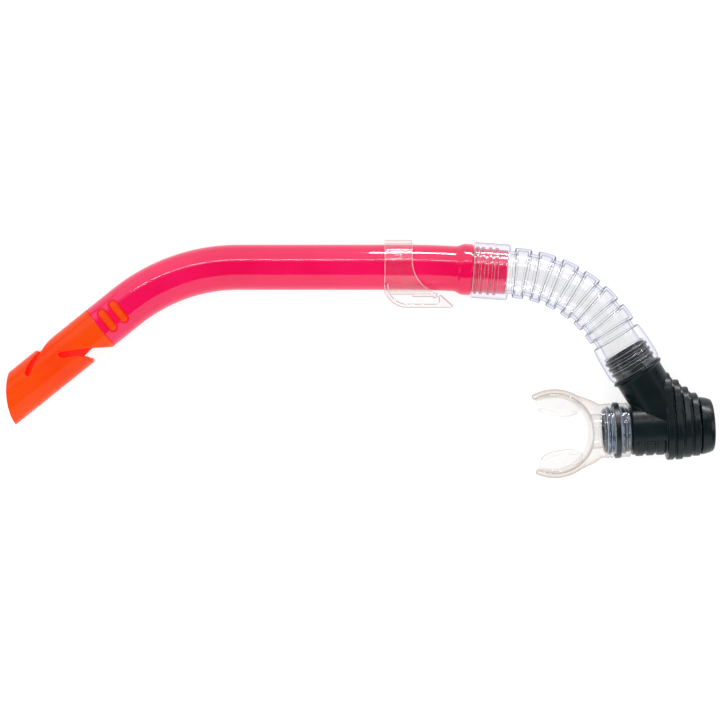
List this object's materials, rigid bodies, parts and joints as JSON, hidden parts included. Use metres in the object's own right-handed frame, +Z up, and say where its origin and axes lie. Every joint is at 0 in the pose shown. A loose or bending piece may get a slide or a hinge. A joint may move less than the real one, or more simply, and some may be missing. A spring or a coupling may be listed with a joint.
{
  "type": "snorkel tube",
  "caption": "Snorkel with a rigid curved barrel, slotted splash guard, sliding strap keeper, bendable corrugated hose, ribbed purge body and soft bite mouthpiece.",
  "frame": {"origin": "under the middle of the outline, on the surface the snorkel lies on", "axes": "+X from the splash guard toward the purge end, +Y toward the barrel's outer side, +Z up from the surface, square to the plane of the tube's bends"},
  "size_m": [0.3876, 0.1308, 0.0336],
  "materials": {
    "barrel": "gloss",
    "splash_guard": "satin",
    "keeper": "clear gloss",
    "hose": "clear soft",
    "purge_body": "satin",
    "valve_seat": "satin",
    "valve": "clear soft",
    "mouthpiece": "clear soft",
    "tie": "satin"
  },
  "bodies": {
    "barrel": {"barrel": "barrel", "splash_guard": "splash_guard"},
    "keeper": {"keeper": "keeper"},
    "hose_top": {"hose_upper_cuff": "hose"},
    "hose_1": {"hose_ring_1": "hose"},
    "hose_2": {"hose_ring_2": "hose"},
    "hose_3": {"hose_ring_3": "hose"},
    "hose_4": {"hose_ring_4": "hose"},
    "hose_5": {"hose_ring_5": "hose"},
    "hose_6": {"hose_ring_6": "hose"},
    "hose_bottom": {"hose_lower_cuff": "hose"},
    "lower_body": {"purge_body": "purge_body", "purge_valve_seat": "valve_seat", "purge_cap": "purge_body"},
    "valve": {"purge_valve": "valve"},
    "mouth": {"mouthpiece": "mouthpiece", "mouthpiece_tie": "tie"}
  },
  "joints": [
    {"name": "keeper_slide", "type": "slide", "parent": "barrel", "child": "keeper", "axis": [1, 0, 0], "range_m": [-0.075, 0.003]},
    {"name": "hose_swivel", "type": "hinge", "parent": "barrel", "child": "hose_top", "pos_m": [0.06742, 0.04856, 0.0173], "axis": [0.9976, -0.0698, 0], "range_deg": [-90, 90]},
    {"name": "hose_bend", "type": "hinge", "parent": "hose_top", "child": "hose_1", "pos_m": [0.08253, 0.0475, 0.0173], "axis": [0, 0, -1], "range_deg": [-7.4, 5], "stiffness_Nm_per_rad": 0.6},
    {"name": "hose_bend_2", "type": "hinge", "parent": "hose_1", "child": "hose_2", "pos_m": [0.09333, 0.04604, 0.0173], "axis": [0, 0, -1], "range_deg": [-7.4, 5], "stiffness_Nm_per_rad": 0.6},
    {"name": "hose_bend_3", "type": "hinge", "parent": "hose_2", "child": "hose_3", "pos_m": [0.10437, 0.04283, 0.0173], "axis": [0, 0, -1], "range_deg": [-7.4, 5], "stiffness_Nm_per_rad": 0.6},
    {"name": "hose_bend_4", "type": "hinge", "parent": "hose_3", "child": "hose_4", "pos_m": [0.11473, 0.03782, 0.0173], "axis": [0, 0, -1], "range_deg": [-7.4, 5], "stiffness_Nm_per_rad": 0.6},
    {"name": "hose_bend_5", "type": "hinge", "parent": "hose_4", "child": "hose_5", "pos_m": [0.1241, 0.03116, 0.0173], "axis": [0, 0, -1], "range_deg": [-7.4, 5], "stiffness_Nm_per_rad": 0.6},
    {"name": "hose_bend_6", "type": "hinge", "parent": "hose_5", "child": "hose_6", "pos_m": [0.13225, 0.02304, 0.0173], "axis": [0, 0, -1], "range_deg": [-7.4, 5], "stiffness_Nm_per_rad": 0.6},
    {"name": "hose_bend_7", "type": "hinge", "parent": "hose_6", "child": "hose_bottom", "pos_m": [0.13901, 0.01374, 0.0173], "axis": [0, 0, -1], "range_deg": [-7.4, 5], "stiffness_Nm_per_rad": 0.6},
    {"name": "body_swivel", "type": "hinge", "parent": "hose_bottom", "child": "lower_body", "pos_m": [0.14791, -0.00074, 0.0173], "axis": [0.524, -0.8517, 0], "range_deg": [-90, 90]},
    {"name": "mouthpiece_swivel", "type": "hinge", "parent": "lower_body", "child": "mouth", "pos_m": [0.1396, -0.03921, 0.0173], "axis": [0.9985, 0.0551, 0], "range_deg": [-90, 90]},
    {"name": "purge_valve_lift", "type": "slide", "parent": "lower_body", "child": "valve", "axis": [0.9985, 0.0551, 0], "range_m": [0, 0.0015], "stiffness_N_per_m": 20}
  ],
  "couplings": [
    {"joint": "hose_bend_2", "follows": "hose_bend", "ratio": 1},
    {"joint": "hose_bend_3", "follows": "hose_bend", "ratio": 1},
    {"joint": "hose_bend_4", "follows": "hose_bend", "ratio": 1},
    {"joint": "hose_bend_5", "follows": "hose_bend", "ratio": 1},
    {"joint": "hose_bend_6", "follows": "hose_bend", "ratio": 1},
    {"joint": "hose_bend_7", "follows": "hose_bend", "ratio": 1}
  ]
}
